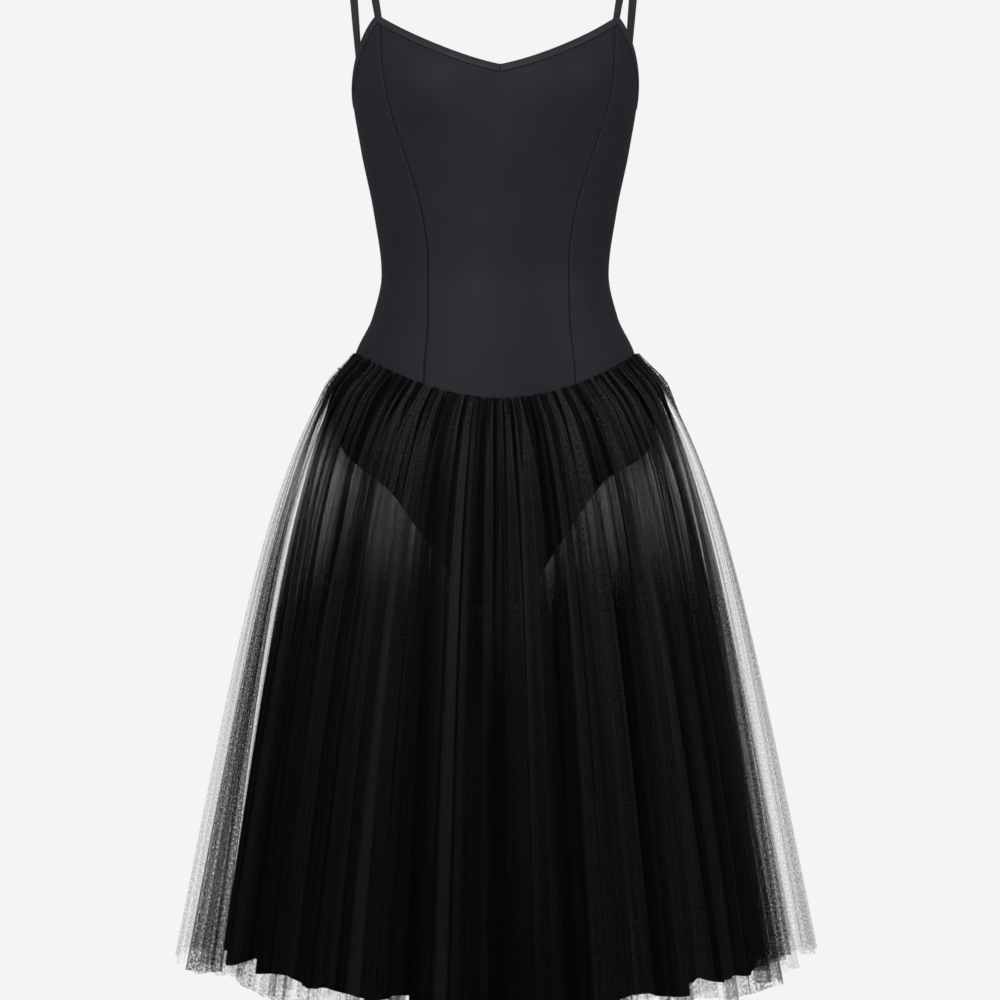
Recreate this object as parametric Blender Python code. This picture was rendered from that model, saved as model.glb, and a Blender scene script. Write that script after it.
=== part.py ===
"""A romantic tutu: a camisole leotard with a long gathered tulle skirt sewn round its basque line.

Metres, +Z up. The front faces -Y and the wearer's left is +X. The origin lies midway between the
tops of the two shoulder straps, where the wearer's shoulders carry the garment. Angles run round
the body from the front centre (0) by the wearer's left side (90) to the back centre (180).
"""

import math
from collections import namedtuple

import bpy
from mathutils import Vector

# Cloth and seams
JERSEY = 0.0012
BINDING = 0.0020
BINDING_WIDTH = 0.0080
STRAP = 0.0016
STRAP_WIDTH = 0.0088
TULLE = 0.0012
SEAM_GAP = 0.0003

# The general figure that the leotard is cut for, as level sections from the chest to the seat
Section = namedtuple("Section", "height half_width front_depth back_depth")
FIGURE = (
    Section(-0.120, 0.1460, 0.0640, 0.0900),
    Section(-0.168, 0.1495, 0.0820, 0.0990),
    Section(-0.235, 0.1480, 0.0980, 0.1010),
    Section(-0.300, 0.1386, 0.0950, 0.0940),
    Section(-0.365, 0.1253, 0.0880, 0.0860),
    Section(-0.430, 0.1170, 0.0840, 0.0810),
    Section(-0.475, 0.1264, 0.0920, 0.0890),
    Section(-0.513, 0.1440, 0.1010, 0.1020),
    Section(-0.590, 0.1590, 0.1090, 0.1200),
    Section(-0.660, 0.1650, 0.1060, 0.1220),
    Section(-0.790, 0.1650, 0.1060, 0.1220),
)
BUST_FULLNESS = 0.0110
BUST_HEIGHT = -0.240
BUST_HEIGHT_SPREAD = 0.048
BUST_ANGLE = 31.0
BUST_ANGLE_SPREAD = 19.0
SEAT_HEIGHT = -0.660
CROTCH_HEIGHT = -0.772
FRONT_YOKE_LEVEL = -0.270
BACK_YOKE_LEVEL = -0.380
ROW_HEIGHT = 0.037
YOKE_ROWS = 4
UNDER_ROWS = 5

# The front princess seam, from the strap corner to the leg line
SeamPoint = namedtuple("SeamPoint", "height across")
PRINCESS_SEAM = (
    SeamPoint(-0.150, 0.1210),
    SeamPoint(-0.213, 0.1195),
    SeamPoint(-0.245, 0.1155),
    SeamPoint(-0.270, 0.1095),
    SeamPoint(-0.297, 0.1010),
    SeamPoint(-0.327, 0.0905),
    SeamPoint(-0.372, 0.0780),
    SeamPoint(-0.420, 0.0720),
    SeamPoint(-0.480, 0.0725),
    SeamPoint(-0.535, 0.0770),
    SeamPoint(-0.700, 0.0800),
)

# The leg lines, half the width of the cloth that is left at each height
LEG_TOP = -0.600
FRONT_LEG_LINE = (
    SeamPoint(-0.600, 0.1650),
    SeamPoint(-0.619, 0.1500),
    SeamPoint(-0.645, 0.1080),
    SeamPoint(-0.696, 0.0710),
    SeamPoint(-0.738, 0.0450),
    SeamPoint(CROTCH_HEIGHT, 0.0340),
)
BACK_LEG_LINE = (
    SeamPoint(-0.600, 0.1650),
    SeamPoint(-0.622, 0.1500),
    SeamPoint(-0.652, 0.1100),
    SeamPoint(-0.700, 0.0740),
    SeamPoint(-0.740, 0.0470),
    SeamPoint(CROTCH_HEIGHT, 0.0340),
)

# The upper edges
STRAP_ANGLE = 54.0
NECK_DIP = -0.2205
NECK_SLOPE = 0.30
NECK_CURVE = 1.235
UNDERARM_HEIGHT = -0.245
ARMHOLE_POWER = 1.2
BACK_STRAP_ANGLE = 110.0
BACK_STRAP_HEIGHT = -0.232
BACK_DIP = -0.345
BACK_SCOOP_POWER = 2.2

# The shoulder straps
STRAP_TOP_ACROSS = 0.146
STRAP_RISE = 0.110
STRAP_TURNS = (10, 35, 60, 90, 120, 145, 170)
STRAP_TUCK = 0.012
STRAP_INSET = 0.0018

# The skirt, from the basque line to the hem
BASQUE_SIDE = -0.5127
BASQUE_FRONT_DIP = 0.0480
BASQUE_BACK_DIP = 0.0160
HEM_DIP = 0.0300
FLARE_STRAIGHT = 0.55
FLARE_ROUND = 0.18
FOLDS = 44
TOP_FOLD_DEPTH = 0.0010
FOLD_GROWTH = 0.85
Layer = namedtuple("Layer", "name seam_offset hem_half_width hem_half_depth hem_height fold_depth rings")
SKIRT_LAYERS = (
    Layer("skirt_inner_layer", 0.0027, 0.2600, 0.2400, -1.135, 0.0125, (0, 0.05, 0.16, 0.4, 1)),
    Layer("skirt_middle_layer", 0.0048, 0.2860, 0.2660, -1.148, 0.0145, (0, 0.05, 0.16, 0.4, 1)),
    Layer("skirt_outer_layer", 0.0069, 0.3120, 0.2900, -1.132, 0.0165, (0, 0.04, 0.12, 0.28, 0.6, 1)),
)
FoldPoint = namedtuple("FoldPoint", "share depth")
FOLD_SHAPE = (
    FoldPoint(0.12, -1),
    FoldPoint(0.38, -1),
    FoldPoint(0.62, 1),
    FoldPoint(0.88, 1),
)


def curve(rows, value):
    """A smooth function of height through a table's rows, which never overshoots them."""
    heights = [row.height for row in rows]
    values = [getattr(row, value) for row in rows]
    last = len(rows) - 1
    steps = [(values[i + 1] - values[i]) / (heights[i + 1] - heights[i]) for i in range(last)]
    slopes = [steps[0]]
    for before, after in zip(steps, steps[1:]):
        slopes.append(2 * before * after / (before + after) if before * after > 0 else 0.0)
    slopes.append(steps[-1])

    def at(height):
        height = min(max(height, heights[-1]), heights[0])
        i = next(k for k in range(last) if height >= heights[k + 1])
        span = heights[i + 1] - heights[i]
        t = (height - heights[i]) / span
        start, end = values[i], values[i + 1]
        return (
            start * (1 + 2 * t) * (1 - t) ** 2
            + slopes[i] * span * t * (1 - t) ** 2
            + end * t * t * (3 - 2 * t)
            - slopes[i + 1] * span * t * t * (1 - t)
        )

    return at


half_width = curve(FIGURE, "half_width")
front_depth = curve(FIGURE, "front_depth")
back_depth = curve(FIGURE, "back_depth")
princess_across = curve(PRINCESS_SEAM, "across")
front_leg_across = curve(FRONT_LEG_LINE, "across")
back_leg_across = curve(BACK_LEG_LINE, "across")


def bust(angle, height):
    """How far the bust cups stand forward of the plain section."""
    off_angle = (abs(angle) - BUST_ANGLE) / BUST_ANGLE_SPREAD
    off_height = (height - BUST_HEIGHT) / BUST_HEIGHT_SPREAD
    return BUST_FULLNESS * math.exp(-(off_angle**2) - off_height**2)


def form_point(angle, height):
    """The inside face of the leotard at an angle in degrees and a height."""
    turn = math.radians(angle)
    depth = front_depth(height) if math.cos(turn) > 0 else back_depth(height)
    below_seat = max(0.0, (SEAT_HEIGHT - height) / (SEAT_HEIGHT - CROTCH_HEIGHT))
    rounding = math.sqrt(max(0.0, 1 - below_seat**2))
    y = -depth * rounding * math.cos(turn) - bust(angle, height)
    return Vector((half_width(height) * math.sin(turn), y, height))


def form_normal(angle, height):
    """The direction out of the leotard's surface."""
    step_angle, step_height = 0.5, 0.001
    round_it = form_point(angle + step_angle, height) - form_point(angle - step_angle, height)
    down = form_point(angle, height - step_height) - form_point(angle, height + step_height)
    return down.cross(round_it).normalized()


def angle_of(across, height):
    """The angle from the nearer centre line at which the surface is that far across."""
    return math.degrees(math.asin(min(1.0, across / half_width(height))))


def gap_angle(height):
    """Half the seam gap, as an angle."""
    return math.degrees(SEAM_GAP / 2 / half_width(height))


def neckline(angle):
    """The height of the front neckline, a shallow V between the straps."""
    across = abs(math.sin(math.radians(angle))) * half_width(NECK_DIP)
    return NECK_DIP + NECK_SLOPE * across + NECK_CURVE * across**2


CORNER_HEIGHT = neckline(STRAP_ANGLE)


def armhole(angle):
    """The height of the edge from the front strap under the arm to the back strap."""
    if angle < 90:
        share = max(0.0, (angle - STRAP_ANGLE) / (90 - STRAP_ANGLE))
        return CORNER_HEIGHT + (UNDERARM_HEIGHT - CORNER_HEIGHT) * share**ARMHOLE_POWER
    share = min(1.0, (angle - 90) / (BACK_STRAP_ANGLE - 90))
    ease = share * share * (3 - 2 * share)
    return UNDERARM_HEIGHT + (BACK_STRAP_HEIGHT - UNDERARM_HEIGHT) * ease


def back_scoop(angle):
    """The height of the scooped back edge between the straps."""
    share = min(1.0, (180 - abs(angle)) / (180 - BACK_STRAP_ANGLE))
    return BACK_DIP + (BACK_STRAP_HEIGHT - BACK_DIP) * share**BACK_SCOOP_POWER


Edge = namedtuple("Edge", "height start end")
NECK = Edge(neckline, 0.0, STRAP_ANGLE)
ARMHOLE = Edge(armhole, STRAP_ANGLE, BACK_STRAP_ANGLE)
SCOOP = Edge(back_scoop, BACK_STRAP_ANGLE, 180.0)


def below(edge, angle, distance):
    """The height of a line that runs a distance below an edge, square to it."""
    angle = min(max(angle, edge.start), edge.end)
    start, end = max(edge.start, angle - 1.0), min(edge.end, angle + 1.0)
    level = edge.height(angle)
    along = (form_point(end, level) - form_point(start, level)).length
    slope = math.atan2(abs(edge.height(end) - edge.height(start)), along)
    return level - distance / math.cos(slope)


def from_front(angle):
    """An angle of the full turn as its distance from the front centre, on either side."""
    return 360 - angle if angle > 180 else abs(angle)


def panel_top(angle):
    """The height at which the panels meet the bindings above them."""
    angle = from_front(angle)
    edges = [edge for edge in (NECK, ARMHOLE, SCOOP) if edge.start - 1 <= angle <= edge.end + 1]
    return min(below(edge, angle, BINDING_WIDTH + SEAM_GAP) for edge in edges)


def add_cloth(name, rows, thickness, material, closed=False):
    """A wall of cloth from rows of points on its inside face, thickened outwards."""
    count = len(rows[0])
    points = [point for row in rows for point in row]
    last = count if closed else count - 1
    faces = [
        (i * count + j, (i + 1) * count + j, (i + 1) * count + (j + 1) % count, i * count + (j + 1) % count)
        for i in range(len(rows) - 1)
        for j in range(last)
    ]
    mesh = bpy.data.meshes.new(name)
    mesh.from_pydata(points, [], faces)
    mesh.materials.append(material)
    mesh.shade_smooth()
    cloth = bpy.data.objects.new(name, mesh)
    bpy.context.scene.collection.objects.link(cloth)
    wall = cloth.modifiers.new("wall", "SOLIDIFY")
    wall.thickness = thickness
    wall.offset = 1.0
    wall.use_even_offset = True
    return cloth


def make_material(name, colour, roughness):
    """A cloth's plain finish."""
    material = bpy.data.materials.new(name)
    material.use_nodes = True
    shader = material.node_tree.nodes["Principled BSDF"]
    shader.inputs["Base Color"].default_value = (*colour, 1.0)
    shader.inputs["Roughness"].default_value = roughness
    shader.inputs["Metallic"].default_value = 0.0
    return material


def spaced(start, end, count):
    """Evenly spaced values from the start to the end."""
    return [start + (end - start) * i / count for i in range(count + 1)]


def crossing(edge, angle_at, high, low):
    """The height at which a column of a panel meets an edge."""
    for _ in range(40):
        middle = (high + low) / 2
        if edge(angle_at(middle)) < middle:
            high = middle
        else:
            low = middle
    return middle


def add_panel(name, left, right, columns, yoke_level, bottom, material):
    """A leotard panel between two seams, each an angle for every height.

    Below the yoke level its rows are level. With no bottom edge it goes down under the crotch.
    """
    grid = []
    for share in spaced(0.0, 1.0, columns):

        def angle_at(height):
            return left(height) + (right(height) - left(height)) * share

        top = crossing(panel_top, angle_at, FIGURE[0].height, BASQUE_SIDE)
        heights = spaced(top, yoke_level, YOKE_ROWS)[:-1]
        heights += spaced(yoke_level, LEG_TOP, round((yoke_level - LEG_TOP) / ROW_HEIGHT))
        if bottom:
            heights += spaced(LEG_TOP, crossing(bottom, angle_at, LEG_TOP, CROTCH_HEIGHT), 3)[1:]
        else:
            heights += spaced(LEG_TOP, SEAT_HEIGHT, 2)[1:]
            turns = spaced(0.0, math.pi / 2, UNDER_ROWS)[1:]
            heights += [SEAT_HEIGHT - (SEAT_HEIGHT - CROTCH_HEIGHT) * math.sin(turn) for turn in turns]
        column = [form_point(angle_at(height), height) for height in heights]
        if not bottom:
            column[-1].y = math.copysign(SEAM_GAP / 2, column[0].y)
        grid.append(column)
    add_cloth(name, list(zip(*grid)), JERSEY, material)


def princess_angle(height):
    """The angle of the princess seam."""
    return angle_of(princess_across(height), height)


def front_leg_angle(height):
    """The angle of the front leg line from the front centre."""
    return 90.0 if height > LEG_TOP else angle_of(front_leg_across(height), height)


def front_leg_height(angle):
    """The height of the front leg line at an angle."""
    high, low = LEG_TOP, CROTCH_HEIGHT
    for _ in range(30):
        middle = (high + low) / 2
        if front_leg_angle(middle) > abs(angle):
            high = middle
        else:
            low = middle
    return middle


def back_leg_angle(height):
    """The angle of the back edge of the cloth, side seam and then leg line, from the front."""
    return 90.0 if height > LEG_TOP else 180.0 - angle_of(back_leg_across(height), height)


def build_front_centre(material):
    def side(height):
        return min(princess_angle(height), front_leg_angle(height)) - gap_angle(height)

    def other_side(height):
        return -side(height)

    add_panel("front_centre_panel", other_side, side, 12, FRONT_YOKE_LEVEL, None, material)


def build_front_side(name, hand, material):
    """The panel from the princess seam to the side seam, on the hand's side."""

    def inner(height):
        return hand * (princess_angle(height) + gap_angle(height))

    def outer(height):
        return hand * (90.0 - gap_angle(height))

    left, right = (inner, outer) if hand > 0 else (outer, inner)
    add_panel(name, left, right, 5, FRONT_YOKE_LEVEL, front_leg_height, material)


def build_back(material):
    def edge(height):
        return back_leg_angle(height) + gap_angle(height)

    def other_edge(height):
        return 360.0 - edge(height)

    add_panel("back_panel", edge, other_edge, 18, BACK_YOKE_LEVEL, None, material)


def build_binding(name, edge, angles, material):
    """A folded binding along an upper edge, ending half a seam gap short at each end."""
    rows = ([], [])
    for i, angle in enumerate(angles):
        near = from_front(angle)
        foot = below(edge, near, BINDING_WIDTH)
        trim = gap_angle(foot)
        trimmed = angle + trim if i == 0 else angle - trim if i == len(angles) - 1 else angle
        rows[0].append(form_point(trimmed, edge.height(near)))
        rows[1].append(form_point(trimmed, foot))
    add_cloth(name, rows, BINDING, material)


def build_bindings(material):
    neck = spaced(0.0, STRAP_ANGLE, 6)
    armhole_angles = spaced(STRAP_ANGLE, 90.0, 5) + spaced(90.0, BACK_STRAP_ANGLE, 2)[1:]
    scoop = spaced(BACK_STRAP_ANGLE, 360.0 - BACK_STRAP_ANGLE, 14)
    build_binding("neck_binding_left", NECK, neck, material)
    build_binding("neck_binding_right", NECK, [-angle for angle in reversed(neck)], material)
    build_binding("armhole_binding_left", ARMHOLE, armhole_angles, material)
    right = [-angle for angle in reversed(armhole_angles)]
    build_binding("armhole_binding_right", ARMHOLE, right, material)
    build_binding("back_neck_binding", SCOOP, scoop, material)


def strap_route():
    """Points up the left strap's front run, over the shoulder and down the back, with its facing."""
    front_ends = [
        (form_point(STRAP_ANGLE, height), form_normal(STRAP_ANGLE, height))
        for height in (CORNER_HEIGHT - STRAP_TUCK, CORNER_HEIGHT)
    ]
    back_ends = [
        (form_point(BACK_STRAP_ANGLE, height), form_normal(BACK_STRAP_ANGLE, height))
        for height in (BACK_STRAP_HEIGHT, BACK_STRAP_HEIGHT - STRAP_TUCK)
    ]
    front, back = front_ends[-1][0], back_ends[0][0]
    middle, reach = (front.y + back.y) / 2, (back.y - front.y) / 2
    route = [(point - facing * STRAP_INSET, facing) for point, facing in front_ends]
    for turn in STRAP_TURNS:
        lean = math.radians(turn)
        facing = Vector((0, -math.cos(lean), math.sin(lean)))
        fall = 1 - math.sin(lean)
        end = front if turn < 90 else back
        across = STRAP_TOP_ACROSS + (end.x - STRAP_TOP_ACROSS) * fall**2
        route.append((Vector((across, middle + reach * facing.y, -STRAP_RISE * fall)), facing))
    return route + [(point - facing * STRAP_INSET, facing) for point, facing in back_ends]


def smooth_route(route, per_span):
    """A smooth line of points and facings through the route's own."""
    line = []
    last = len(route) - 1
    for i in range(last):
        before, start, end, after = (route[min(max(k, 0), last)] for k in (i - 1, i, i + 1, i + 2))
        for k in range(per_span):
            t = k / per_span
            line.append(
                tuple(
                    0.5
                    * (
                        2 * b
                        + (c - a) * t
                        + (2 * a - 5 * b + 4 * c - d) * t**2
                        + (3 * b - a - 3 * c + d) * t**3
                    )
                    for a, b, c, d in zip(before, start, end, after)
                )
            )
    return line + [route[-1]]


def build_strap(name, hand, material):
    line = smooth_route(strap_route(), 2)
    rows = []
    for i, (point, facing) in enumerate(line):
        along = line[min(i + 1, len(line) - 1)][0] - line[max(i - 1, 0)][0]
        side = along.cross(facing).normalized() * (STRAP_WIDTH / 2)
        edges = (point + side, point - side)
        if hand < 0:
            edges = [Vector((-edge.x, edge.y, edge.z)) for edge in reversed(edges)]
        rows.append(edges)
    cloth = add_cloth(name, rows, STRAP, material)
    cloth.modifiers["wall"].offset = -1.0


def basque_line(angle):
    """The height of the seam where the skirt is sewn to the leotard."""
    turn = math.radians(angle)
    dip = BASQUE_FRONT_DIP if math.cos(turn) > 0 else BASQUE_BACK_DIP
    return BASQUE_SIDE - dip * math.cos(math.pi / 2 * math.sin(turn))


def flare(share):
    """How much of the way out to the hem the skirt has come at a share of its length."""
    rounded = (1 - math.exp(-share / FLARE_ROUND)) / (1 - math.exp(-1 / FLARE_ROUND))
    return FLARE_STRAIGHT * share + (1 - FLARE_STRAIGHT) * rounded


def fold_angles():
    """Each fold's start and width in degrees and its depth factor, as uneven as hand gathering."""
    widths = [1 + 0.22 * math.sin(2.3 * i) + 0.12 * math.sin(5.1 * i + 1.0) for i in range(FOLDS)]
    depths = [1 + 0.16 * math.sin(1.7 * i + 0.5) + 0.10 * math.sin(4.3 * i) for i in range(FOLDS)]
    scale = 360 / sum(widths)
    starts = [scale * sum(widths[:i]) for i in range(FOLDS)]
    return [(start, width * scale, depth) for start, width, depth in zip(starts, widths, depths)]


def skirt_point(layer, angle, share, depth):
    """A point of a skirt layer, at an angle, a share of its length and a depth of fold."""
    turn = math.radians(angle)
    out = Vector((math.sin(turn), -math.cos(turn), 0))
    seam_height = basque_line(angle)
    seam = form_point(angle, seam_height) + out * layer.seam_offset
    hem = Vector((layer.hem_half_width * out.x, layer.hem_half_depth * out.y, 0))
    opened = flare(share)
    fold = TOP_FOLD_DEPTH + (layer.fold_depth - TOP_FOLD_DEPTH) * share**FOLD_GROWTH
    point = seam.lerp(hem, opened) + out * fold * depth
    hem_height = layer.hem_height - HEM_DIP * out.y**2
    point.z = seam_height + (hem_height - seam_height) * share
    return point


def build_skirt_layer(layer, material):
    """A width of tulle gathered into folds that open out from the basque seam to the hem."""
    rows = []
    for share in layer.rings:
        row = []
        for start, width, factor in fold_angles():
            for fold_point in FOLD_SHAPE:
                uneven = 1 + (factor - 1) * share
                angle = start + width * fold_point.share
                row.append(skirt_point(layer, angle, share, fold_point.depth * uneven))
        rows.append(row)
    add_cloth(layer.name, rows, TULLE, material, closed=True)


def main():
    for old in list(bpy.data.objects):
        bpy.data.objects.remove(old, do_unlink=True)
    jersey = make_material("black_jersey", (0.018, 0.017, 0.022), 0.55)
    edging = make_material("black_edging", (0.020, 0.019, 0.023), 0.50)
    tulle = make_material("black_tulle", (0.010, 0.010, 0.010), 0.80)
    build_front_centre(jersey)
    build_front_side("front_side_panel_left", 1, jersey)
    build_front_side("front_side_panel_right", -1, jersey)
    build_back(jersey)
    build_bindings(edging)
    build_strap("strap_left", 1, edging)
    build_strap("strap_right", -1, edging)
    for layer in SKIRT_LAYERS:
        build_skirt_layer(layer, tulle)


main()
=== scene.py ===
import math

import bpy
import numpy as np
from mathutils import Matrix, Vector


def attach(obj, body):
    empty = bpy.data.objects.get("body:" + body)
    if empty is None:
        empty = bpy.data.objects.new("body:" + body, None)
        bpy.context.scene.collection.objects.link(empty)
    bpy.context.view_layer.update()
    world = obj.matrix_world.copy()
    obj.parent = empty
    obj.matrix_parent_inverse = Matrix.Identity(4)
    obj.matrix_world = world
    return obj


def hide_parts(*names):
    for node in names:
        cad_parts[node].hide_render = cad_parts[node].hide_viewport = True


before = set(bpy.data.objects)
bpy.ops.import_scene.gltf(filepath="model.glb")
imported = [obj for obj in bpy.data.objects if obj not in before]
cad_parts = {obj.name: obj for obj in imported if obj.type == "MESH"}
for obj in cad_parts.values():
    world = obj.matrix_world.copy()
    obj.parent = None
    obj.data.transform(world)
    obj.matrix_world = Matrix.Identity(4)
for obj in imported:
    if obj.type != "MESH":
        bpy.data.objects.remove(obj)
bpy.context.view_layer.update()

scene = bpy.context.scene

# The studio: a pale surround, a soft box above the camera and a little to its left, and a window at each
# side, the right one stronger. The camera stands nearly square to the front, at hip height, with a long lens.
GARMENT_MIDDLE = (0.005, 0.0, -0.6646)
CAMERA_DISTANCE = 4.8
CAMERA_TURN = math.radians(-3.0)
FRAME_WIDTH = 1.04
SENSOR_WIDTH = 36.0
PALE = 0.905
WORLD_LIGHT = 0.22
SURROUND_RADIUS = 14.0
CHEST = (0.0, 0.0, -0.10)
WAIST = (0.0, 0.0, -0.45)
SOFT_BOX_SIZE = (0.8, 0.8)
SOFT_BOX_POWER = 5.0
SOFT_BOX_SPREAD = 55.0
WINDOW_SIZE = (1.2, 1.6)
RIGHT_WINDOW_POWER = 32.0
LEFT_WINDOW_POWER = 18.0
TULLE_CROSSINGS = 40


def aim(thing, target):
    """Points a camera or a light at a place."""
    way = Vector(target) - thing.location
    thing.rotation_euler = way.to_track_quat("-Z", "Y").to_euler()


def add_soft_light(name, place, size, power, spread=180.0, target=WAIST):
    """A rectangular light that is turned to its target. The spread is in degrees."""
    light = bpy.data.lights.new(name, "AREA")
    light.shape = "RECTANGLE"
    light.size, light.size_y = size
    light.energy = power
    light.spread = math.radians(spread)
    lamp = bpy.data.objects.new(name, light)
    scene.collection.objects.link(lamp)
    lamp.location = place
    aim(lamp, target)


camera = bpy.data.objects.new("camera", bpy.data.cameras.new("camera"))
scene.collection.objects.link(camera)
camera.location = (
    GARMENT_MIDDLE[0] + CAMERA_DISTANCE * math.sin(CAMERA_TURN),
    GARMENT_MIDDLE[1] - CAMERA_DISTANCE * math.cos(CAMERA_TURN),
    GARMENT_MIDDLE[2],
)
aim(camera, GARMENT_MIDDLE)
camera.data.sensor_width = SENSOR_WIDTH
camera.data.lens = SENSOR_WIDTH * CAMERA_DISTANCE / FRAME_WIDTH
scene.camera = camera
scene.view_settings.view_transform = "Standard"
scene.cycles.transparent_max_bounces = TULLE_CROSSINGS

world = bpy.data.worlds.new("surround")
world.use_nodes = True
world_colour = world.node_tree.nodes["Background"].inputs["Color"]
world_colour.default_value = (WORLD_LIGHT, WORLD_LIGHT, WORLD_LIGHT, 1.0)
scene.world = world
add_soft_light("soft_box_above", (-0.80, -2.8, 0.60), SOFT_BOX_SIZE, SOFT_BOX_POWER, SOFT_BOX_SPREAD, CHEST)
add_soft_light("window_right", (2.5, -1.6, 0.7), WINDOW_SIZE, RIGHT_WINDOW_POWER)
add_soft_light("window_left", (-2.5, -1.6, 0.7), WINDOW_SIZE, LEFT_WINDOW_POWER)

paper = bpy.data.materials.new("pale_surround")
paper.use_nodes = True
paper_surface = paper.node_tree.nodes["Principled BSDF"].inputs
paper_surface["Base Color"].default_value = (0.0, 0.0, 0.0, 1.0)
paper_surface["Specular IOR Level"].default_value = 0.0
paper_surface["Emission Color"].default_value = (PALE, PALE, PALE, 1.0)
paper_surface["Emission Strength"].default_value = 1.0
bpy.ops.mesh.primitive_uv_sphere_add(
    segments=48, ring_count=24, radius=SURROUND_RADIUS, location=GARMENT_MIDDLE
)
surround = bpy.context.object
surround.name = "surround"
surround.data.materials.append(paper)
surround.visible_diffuse = False
surround.visible_glossy = False
surround.visible_shadow = False

# The leotard is cut from matte black nylon and elastane jersey in four panels: a front centre and two
# front sides joined by princess seams, and a low scooped back. It keeps the form that it has when worn.
JERSEY_FACE = 0.0012
JERSEY_THICKNESS = 0.0008
FIGURE_HEIGHTS = (-0.120, -0.168, -0.235, -0.300, -0.365, -0.430, -0.475, -0.513, -0.590, -0.660, -0.790)
FIGURE_HALF_WIDTHS = (0.1460, 0.1495, 0.1480, 0.1386, 0.1253, 0.1170, 0.1264, 0.1440, 0.1590, 0.1650, 0.1650)
FIGURE_FRONT_DEPTHS = (0.0640, 0.0820, 0.0980, 0.0950, 0.0880, 0.0840, 0.0920, 0.1010, 0.1090, 0.1060, 0.1060)
FIGURE_BACK_DEPTHS = (0.0900, 0.0990, 0.1010, 0.0940, 0.0860, 0.0810, 0.0890, 0.1020, 0.1200, 0.1220, 0.1220)
BUST_FULLNESS = 0.0110
BUST_HEIGHT = -0.240
BUST_HEIGHT_SPREAD = 0.048
BUST_ANGLE = math.radians(31.0)
BUST_ANGLE_SPREAD = math.radians(19.0)
SEAT_HEIGHT = -0.660
CROTCH_HEIGHT = -0.772
PRINCESS_HEIGHTS = (-0.150, -0.213, -0.245, -0.270, -0.297, -0.327, -0.372, -0.420, -0.480, -0.535, -0.700)
PRINCESS_ACROSS = (0.1210, 0.1195, 0.1155, 0.1095, 0.1010, 0.0905, 0.0780, 0.0720, 0.0725, 0.0770, 0.0800)
LEG_TOP = -0.600
FRONT_LEG_HEIGHTS = (-0.600, -0.619, -0.645, -0.696, -0.738, CROTCH_HEIGHT)
FRONT_LEG_ACROSS = (0.1650, 0.1500, 0.1080, 0.0710, 0.0450, 0.0340)
BACK_LEG_HEIGHTS = (-0.600, -0.622, -0.652, -0.700, -0.740, CROTCH_HEIGHT)
BACK_LEG_ACROSS = (0.1650, 0.1500, 0.1100, 0.0740, 0.0470, 0.0340)
STRAP_ANGLE = math.radians(55.6)
BACK_STRAP_ANGLE = math.radians(110.0)
NECK_DIP = -0.2205
NECK_SLOPE = 0.20
NECK_CURVE = 2.02
UNDERARM_HEIGHT = -0.245
ARMHOLE_POWER = 1.2
BACK_STRAP_HEIGHT = -0.232
BACK_DIP = -0.345
BACK_SCOOP_POWER = 2.2
BINDING_WIDTH = 0.0080
SEAM_WIDTH = 0.0016
SEAM_DEPTH = 0.0005
SEAM_GAP = 0.0003
QUARTER = math.pi / 2
FIRST_HEIGHT = -0.45
SETTLING_ROUNDS = 60


def smooth_curve(heights, values):
    """A smooth function through the values at falling heights, which never overshoots them."""
    x = -np.array(heights)
    y = np.array(values, float)
    step = np.diff(y) / np.diff(x)
    product = step[:-1] * step[1:]
    total = np.where(step[:-1] + step[1:] == 0, 1.0, step[:-1] + step[1:])
    slope = np.concatenate(([step[0]], np.where(product > 0, 2 * product / total, 0.0), [step[-1]]))

    def at(height):
        place = np.clip(-np.asarray(height, float), x[0], x[-1])
        i = np.clip(np.searchsorted(x, place, side="right") - 1, 0, len(x) - 2)
        span = x[i + 1] - x[i]
        t = (place - x[i]) / span
        return (
            y[i] * (1 + 2 * t) * (1 - t) ** 2
            + slope[i] * span * t * (1 - t) ** 2
            + y[i + 1] * t * t * (3 - 2 * t)
            - slope[i + 1] * span * t * t * (1 - t)
        )

    return at


half_width = smooth_curve(FIGURE_HEIGHTS, FIGURE_HALF_WIDTHS)
front_depth = smooth_curve(FIGURE_HEIGHTS, FIGURE_FRONT_DEPTHS)
back_depth = smooth_curve(FIGURE_HEIGHTS, FIGURE_BACK_DEPTHS)
princess_across = smooth_curve(PRINCESS_HEIGHTS, PRINCESS_ACROSS)
front_leg_across = smooth_curve(FRONT_LEG_HEIGHTS, FRONT_LEG_ACROSS)
back_leg_across = smooth_curve(BACK_LEG_HEIGHTS, BACK_LEG_ACROSS)


def form(angle, height):
    """The leotard's inside face, at angles round from the front centre and heights."""
    angle, height = np.broadcast_arrays(np.asarray(angle, float), np.asarray(height, float))
    off_angle = (np.abs(angle) - BUST_ANGLE) / BUST_ANGLE_SPREAD
    off_height = (height - BUST_HEIGHT) / BUST_HEIGHT_SPREAD
    bust = BUST_FULLNESS * np.exp(-(off_angle**2) - off_height**2)
    depth = np.where(np.cos(angle) > 0, front_depth(height), back_depth(height))
    below_seat = np.clip((SEAT_HEIGHT - height) / (SEAT_HEIGHT - CROTCH_HEIGHT), 0.0, 1.0)
    y = -depth * np.sqrt(1 - below_seat**2) * np.cos(angle) - bust
    return np.stack([half_width(height) * np.sin(angle), y, height], axis=-1)


def form_normal(angle, height):
    """The direction out of the leotard's surface, from short steps to each side, up and down."""
    turn, drop = 0.01, 0.001
    height = np.maximum(height, CROTCH_HEIGHT + 1.5 * drop)
    sideways = form(angle + turn, height) - form(angle - turn, height)
    down = form(angle, height - drop) - form(angle, height + drop)
    normal = np.cross(down, sideways)
    return normal / np.linalg.norm(normal, axis=-1, keepdims=True)


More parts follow.
